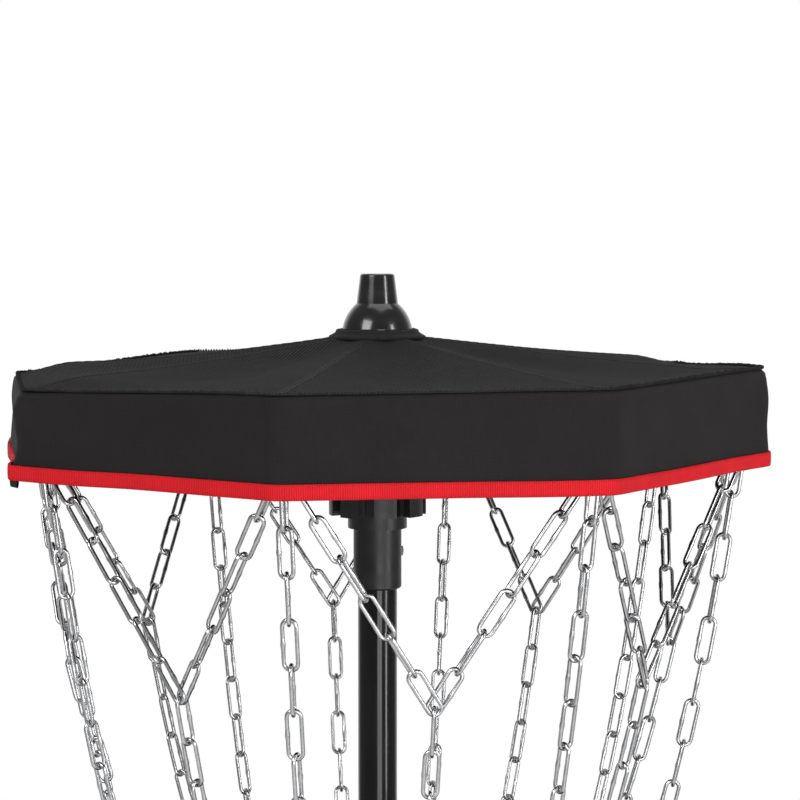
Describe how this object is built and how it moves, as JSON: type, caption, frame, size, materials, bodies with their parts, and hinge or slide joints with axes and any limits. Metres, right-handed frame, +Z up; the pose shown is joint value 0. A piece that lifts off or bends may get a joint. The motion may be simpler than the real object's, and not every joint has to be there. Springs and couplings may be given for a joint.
{
  "type": "disc golf basket",
  "caption": "Portable folding target: octagonal umbrella canopy with hanging catch chains above an open octagonal cloth basket, on a pole with a folding tripod.",
  "frame": {"origin": "on the ground under the pole's axis", "axes": "+Z up along the pole; canopy rib 1 and basket rib 1 point along +X, tripod leg 1 along +Y"},
  "size_m": [0.6552, 0.6552, 1.4792],
  "materials": {
    "pole_black": "gloss black enamel",
    "frame_black": "satin black enamel",
    "cap_black": "gloss black moulding",
    "hub_black": "satin black moulding",
    "zinc": "bright zinc plate",
    "bare_steel": "plain steel",
    "canopy_cloth": "black woven polyester",
    "red_webbing": "ribbed red webbing",
    "boot_rubber": "moulded rubber"
  },
  "bodies": {
    "frame": {"pole_upper": "pole_black", "pole_lower": "pole_black", "finial": "cap_black", "top_hub": "hub_black", "top_hub_pins": "bare_steel", "basket_hub": "hub_black", "basket_hub_pins": "bare_steel", "chain_ring": "zinc", "chain_net": "zinc", "base_hub": "hub_black", "canopy_fabric": "canopy_cloth", "canopy_binding": "red_webbing", "basket_fabric": "canopy_cloth", "basket_binding": "red_webbing"},
    "canopy_runner": {"canopy_runner": "hub_black"},
    "canopy_knob": {"canopy_clamp_knob": "hub_black"},
    "leg_runner": {"leg_runner": "hub_black", "leg_runner_pins": "bare_steel"},
    "leg_knob": {"leg_clamp_knob": "hub_black"},
    "canopy_rib_1": {"canopy_rib_1": "frame_black"},
    "canopy_strut_1": {"canopy_strut_1": "frame_black"},
    "chain_strand_1": {"chain_strand_1": "zinc"},
    "basket_rib_1": {"basket_rib_1": "frame_black"},
    "canopy_rib_2": {"canopy_rib_2": "frame_black"},
    "canopy_strut_2": {"canopy_strut_2": "frame_black"},
    "chain_strand_2": {"chain_strand_2": "zinc"},
    "basket_rib_2": {"basket_rib_2": "frame_black"},
    "canopy_rib_3": {"canopy_rib_3": "frame_black"},
    "canopy_strut_3": {"canopy_strut_3": "frame_black"},
    "chain_strand_3": {"chain_strand_3": "zinc"},
    "basket_rib_3": {"basket_rib_3": "frame_black"},
    "canopy_rib_4": {"canopy_rib_4": "frame_black"},
    "canopy_strut_4": {"canopy_strut_4": "frame_black"},
    "chain_strand_4": {"chain_strand_4": "zinc"},
    "basket_rib_4": {"basket_rib_4": "frame_black"},
    "canopy_rib_5": {"canopy_rib_5": "frame_black"},
    "canopy_strut_5": {"canopy_strut_5": "frame_black"},
    "chain_strand_5": {"chain_strand_5": "zinc"},
    "basket_rib_5": {"basket_rib_5": "frame_black"},
    "canopy_rib_6": {"canopy_rib_6": "frame_black"},
    "canopy_strut_6": {"canopy_strut_6": "frame_black"},
    "chain_strand_6": {"chain_strand_6": "zinc"},
    "basket_rib_6": {"basket_rib_6": "frame_black"},
    "canopy_rib_7": {"canopy_rib_7": "frame_black"},
    "canopy_strut_7": {"canopy_strut_7": "frame_black"},
    "chain_strand_7": {"chain_strand_7": "zinc"},
    "basket_rib_7": {"basket_rib_7": "frame_black"},
    "canopy_rib_8": {"canopy_rib_8": "frame_black"},
    "canopy_strut_8": {"canopy_strut_8": "frame_black"},
    "chain_strand_8": {"chain_strand_8": "zinc"},
    "basket_rib_8": {"basket_rib_8": "frame_black"},
    "leg_1": {"leg_1": "frame_black", "leg_foot_1": "boot_rubber"},
    "leg_brace_1": {"leg_brace_1": "frame_black"},
    "leg_2": {"leg_2": "frame_black", "leg_foot_2": "boot_rubber"},
    "leg_brace_2": {"leg_brace_2": "frame_black"},
    "leg_3": {"leg_3": "frame_black", "leg_foot_3": "boot_rubber"},
    "leg_brace_3": {"leg_brace_3": "frame_black"}
  },
  "joints": [
    {"name": "canopy_fold_1", "type": "hinge", "parent": "frame", "child": "canopy_rib_1", "pos_m": [0.032, 0, 1.42], "axis": [0, 1, 0], "range_deg": [0, 70], "deforming": ["canopy_fabric", "canopy_binding", "chain_net", "chain_strand_1", "chain_strand_2", "chain_strand_3", "chain_strand_4", "chain_strand_5", "chain_strand_6", "chain_strand_7", "chain_strand_8"]},
    {"name": "strut_turn_1", "type": "hinge", "parent": "canopy_rib_1", "child": "canopy_strut_1", "pos_m": [0.15542, 0, 1.39732], "axis": [0, 1, 0], "range_deg": [-117.65, 0]},
    {"name": "strand_swing_1", "type": "hinge", "parent": "frame", "child": "chain_strand_1", "pos_m": [0.272, 0, 1.39739], "axis": [0.3959, 0, 0.9183], "range_deg": [-20, 20]},
    {"name": "basket_fold_1", "type": "hinge", "parent": "frame", "child": "basket_rib_1", "pos_m": [0.032, 0, 0.648], "axis": [0, -1, 0], "range_deg": [0, 50], "deforming": ["basket_fabric", "basket_binding"]},
    {"name": "canopy_fold_2", "type": "hinge", "parent": "frame", "child": "canopy_rib_2", "pos_m": [0.02263, 0.02263, 1.42], "axis": [-0.7071, 0.7071, 0], "range_deg": [0, 70]},
    {"name": "strut_turn_2", "type": "hinge", "parent": "canopy_rib_2", "child": "canopy_strut_2", "pos_m": [0.1099, 0.1099, 1.39732], "axis": [-0.7071, 0.7071, 0], "range_deg": [-117.65, 0]},
    {"name": "strand_swing_2", "type": "hinge", "parent": "frame", "child": "chain_strand_2", "pos_m": [0.19233, 0.19233, 1.39739], "axis": [0.28, 0.28, 0.9183], "range_deg": [-20, 20]},
    {"name": "basket_fold_2", "type": "hinge", "parent": "frame", "child": "basket_rib_2", "pos_m": [0.02263, 0.02263, 0.648], "axis": [0.7071, -0.7071, 0], "range_deg": [0, 50]},
    {"name": "canopy_fold_3", "type": "hinge", "parent": "frame", "child": "canopy_rib_3", "pos_m": [0, 0.032, 1.42], "axis": [-1, 0, 0], "range_deg": [0, 70]},
    {"name": "strut_turn_3", "type": "hinge", "parent": "canopy_rib_3", "child": "canopy_strut_3", "pos_m": [0, 0.15542, 1.39732], "axis": [-1, 0, 0], "range_deg": [-117.65, 0]},
    {"name": "strand_swing_3", "type": "hinge", "parent": "frame", "child": "chain_strand_3", "pos_m": [0, 0.272, 1.39739], "axis": [0, 0.3959, 0.9183], "range_deg": [-20, 20]},
    {"name": "basket_fold_3", "type": "hinge", "parent": "frame", "child": "basket_rib_3", "pos_m": [0, 0.032, 0.648], "axis": [1, 0, 0], "range_deg": [0, 50]},
    {"name": "canopy_fold_4", "type": "hinge", "parent": "frame", "child": "canopy_rib_4", "pos_m": [-0.02263, 0.02263, 1.42], "axis": [-0.7071, -0.7071, 0], "range_deg": [0, 70]},
    {"name": "strut_turn_4", "type": "hinge", "parent": "canopy_rib_4", "child": "canopy_strut_4", "pos_m": [-0.1099, 0.1099, 1.39732], "axis": [-0.7071, -0.7071, 0], "range_deg": [-117.65, 0]},
    {"name": "strand_swing_4", "type": "hinge", "parent": "frame", "child": "chain_strand_4", "pos_m": [-0.19233, 0.19233, 1.39739], "axis": [-0.28, 0.28, 0.9183], "range_deg": [-20, 20]},
    {"name": "basket_fold_4", "type": "hinge", "parent": "frame", "child": "basket_rib_4", "pos_m": [-0.02263, 0.02263, 0.648], "axis": [0.7071, 0.7071, 0], "range_deg": [0, 50]},
    {"name": "canopy_fold_5", "type": "hinge", "parent": "frame", "child": "canopy_rib_5", "pos_m": [-0.032, 0, 1.42], "axis": [0, -1, 0], "range_deg": [0, 70]},
    {"name": "strut_turn_5", "type": "hinge", "parent": "canopy_rib_5", "child": "canopy_strut_5", "pos_m": [-0.15542, 0, 1.39732], "axis": [0, -1, 0], "range_deg": [-117.65, 0]},
    {"name": "strand_swing_5", "type": "hinge", "parent": "frame", "child": "chain_strand_5", "pos_m": [-0.272, 0, 1.39739], "axis": [-0.3959, 0, 0.9183], "range_deg": [-20, 20]},
    {"name": "basket_fold_5", "type": "hinge", "parent": "frame", "child": "basket_rib_5", "pos_m": [-0.032, 0, 0.648], "axis": [0, 1, 0], "range_deg": [0, 50]},
    {"name": "canopy_fold_6", "type": "hinge", "parent": "frame", "child": "canopy_rib_6", "pos_m": [-0.02263, -0.02263, 1.42], "axis": [0.7071, -0.7071, 0], "range_deg": [0, 70]},
    {"name": "strut_turn_6", "type": "hinge", "parent": "canopy_rib_6", "child": "canopy_strut_6", "pos_m": [-0.1099, -0.1099, 1.39732], "axis": [0.7071, -0.7071, 0], "range_deg": [-117.65, 0]},
    {"name": "strand_swing_6", "type": "hinge", "parent": "frame", "child": "chain_strand_6", "pos_m": [-0.19233, -0.19233, 1.39739], "axis": [-0.28, -0.28, 0.9183], "range_deg": [-20, 20]},
    {"name": "basket_fold_6", "type": "hinge", "parent": "frame", "child": "basket_rib_6", "pos_m": [-0.02263, -0.02263, 0.648], "axis": [-0.7071, 0.7071, 0], "range_deg": [0, 50]},
    {"name": "canopy_fold_7", "type": "hinge", "parent": "frame", "child": "canopy_rib_7", "pos_m": [0, -0.032, 1.42], "axis": [1, 0, 0], "range_deg": [0, 70]},
    {"name": "strut_turn_7", "type": "hinge", "parent": "canopy_rib_7", "child": "canopy_strut_7", "pos_m": [0, -0.15542, 1.39732], "axis": [1, 0, 0], "range_deg": [-117.65, 0]},
    {"name": "strand_swing_7", "type": "hinge", "parent": "frame", "child": "chain_strand_7", "pos_m": [0, -0.272, 1.39739], "axis": [0, -0.3959, 0.9183], "range_deg": [-20, 20]},
    {"name": "basket_fold_7", "type": "hinge", "parent": "frame", "child": "basket_rib_7", "pos_m": [0, -0.032, 0.648], "axis": [-1, 0, 0], "range_deg": [0, 50]},
    {"name": "canopy_fold_8", "type": "hinge", "parent": "frame", "child": "canopy_rib_8", "pos_m": [0.02263, -0.02263, 1.42], "axis": [0.7071, 0.7071, 0], "range_deg": [0, 70]},
    {"name": "strut_turn_8", "type": "hinge", "parent": "canopy_rib_8", "child": "canopy_strut_8", "pos_m": [0.1099, -0.1099, 1.39732], "axis": [0.7071, 0.7071, 0], "range_deg": [-117.65, 0]},
    {"name": "strand_swing_8", "type": "hinge", "parent": "frame", "child": "chain_strand_8", "pos_m": [0.19233, -0.19233, 1.39739], "axis": [0.28, -0.28, 0.9183], "range_deg": [-20, 20]},
    {"name": "basket_fold_8", "type": "hinge", "parent": "frame", "child": "basket_rib_8", "pos_m": [0.02263, -0.02263, 0.648], "axis": [-0.7071, -0.7071, 0], "range_deg": [0, 50]},
    {"name": "runner_slide", "type": "slide", "parent": "frame", "child": "canopy_runner", "axis": [0, 0, 1], "range_m": [-0.16655, 0]},
    {"name": "canopy_knob_turn", "type": "hinge", "parent": "canopy_runner", "child": "canopy_knob", "pos_m": [0, 0.0225, 1.264], "axis": [0, 1, 0], "range_deg": [0, 180]},
    {"name": "leg_slide", "type": "slide", "parent": "frame", "child": "leg_runner", "axis": [0, 0, 1], "range_m": [0, 0.09212]},
    {"name": "leg_knob_turn", "type": "hinge", "parent": "leg_runner", "child": "leg_knob", "pos_m": [0, -0.028, 0.26856], "axis": [0, -1, 0], "range_deg": [0, 180]},
    {"name": "leg_fold_1", "type": "hinge", "parent": "leg_runner", "child": "leg_1", "pos_m": [0, 0.036, 0.26856], "axis": [-1, 0, 0], "range_deg": [0, 40]},
    {"name": "brace_turn_1", "type": "hinge", "parent": "leg_1", "child": "leg_brace_1", "pos_m": [0, 0.13323, 0.15365], "axis": [-1, 0, 0], "range_deg": [-94.44, 0]},
    {"name": "leg_fold_2", "type": "hinge", "parent": "leg_runner", "child": "leg_2", "pos_m": [-0.03118, -0.018, 0.26856], "axis": [0.5, -0.866, 0], "range_deg": [0, 40]},
    {"name": "brace_turn_2", "type": "hinge", "parent": "leg_2", "child": "leg_brace_2", "pos_m": [-0.11538, -0.06661, 0.15365], "axis": [0.5, -0.866, 0], "range_deg": [-94.44, 0]},
    {"name": "leg_fold_3", "type": "hinge", "parent": "leg_runner", "child": "leg_3", "pos_m": [0.03118, -0.018, 0.26856], "axis": [0.5, 0.866, 0], "range_deg": [0, 40]},
    {"name": "brace_turn_3", "type": "hinge", "parent": "leg_3", "child": "leg_brace_3", "pos_m": [0.11538, -0.06661, 0.15365], "axis": [0.5, 0.866, 0], "range_deg": [-94.44, 0]}
  ],
  "couplings": [
    {"joint": "strut_turn_1", "follows": "canopy_fold_1", "ratio": -1.6808},
    {"joint": "canopy_fold_2", "follows": "canopy_fold_1", "ratio": 1},
    {"joint": "strut_turn_2", "follows": "canopy_fold_1", "ratio": -1.6808},
    {"joint": "basket_fold_2", "follows": "basket_fold_1", "ratio": 1},
    {"joint": "canopy_fold_3", "follows": "canopy_fold_1", "ratio": 1},
    {"joint": "strut_turn_3", "follows": "canopy_fold_1", "ratio": -1.6808},
    {"joint": "basket_fold_3", "follows": "basket_fold_1", "ratio": 1},
    {"joint": "canopy_fold_4", "follows": "canopy_fold_1", "ratio": 1},
    {"joint": "strut_turn_4", "follows": "canopy_fold_1", "ratio": -1.6808},
    {"joint": "basket_fold_4", "follows": "basket_fold_1", "ratio": 1},
    {"joint": "canopy_fold_5", "follows": "canopy_fold_1", "ratio": 1},
    {"joint": "strut_turn_5", "follows": "canopy_fold_1", "ratio": -1.6808},
    {"joint": "basket_fold_5", "follows": "basket_fold_1", "ratio": 1},
    {"joint": "canopy_fold_6", "follows": "canopy_fold_1", "ratio": 1},
    {"joint": "strut_turn_6", "follows": "canopy_fold_1", "ratio": -1.6808},
    {"joint": "basket_fold_6", "follows": "basket_fold_1", "ratio": 1},
    {"joint": "canopy_fold_7", "follows": "canopy_fold_1", "ratio": 1},
    {"joint": "strut_turn_7", "follows": "canopy_fold_1", "ratio": -1.6808},
    {"joint": "basket_fold_7", "follows": "basket_fold_1", "ratio": 1},
    {"joint": "canopy_fold_8", "follows": "canopy_fold_1", "ratio": 1},
    {"joint": "strut_turn_8", "follows": "canopy_fold_1", "ratio": -1.6808},
    {"joint": "basket_fold_8", "follows": "basket_fold_1", "ratio": 1},
    {"joint": "runner_slide", "follows": "canopy_fold_1", "m_per_rad": -0.13632},
    {"joint": "brace_turn_1", "follows": "leg_fold_1", "ratio": -2.361},
    {"joint": "leg_fold_2", "follows": "leg_fold_1", "ratio": 1},
    {"joint": "brace_turn_2", "follows": "leg_fold_1", "ratio": -2.361},
    {"joint": "leg_fold_3", "follows": "leg_fold_1", "ratio": 1},
    {"joint": "brace_turn_3", "follows": "leg_fold_1", "ratio": -2.361},
    {"joint": "leg_slide", "follows": "leg_fold_1", "m_per_rad": 0.13195}
  ]
}
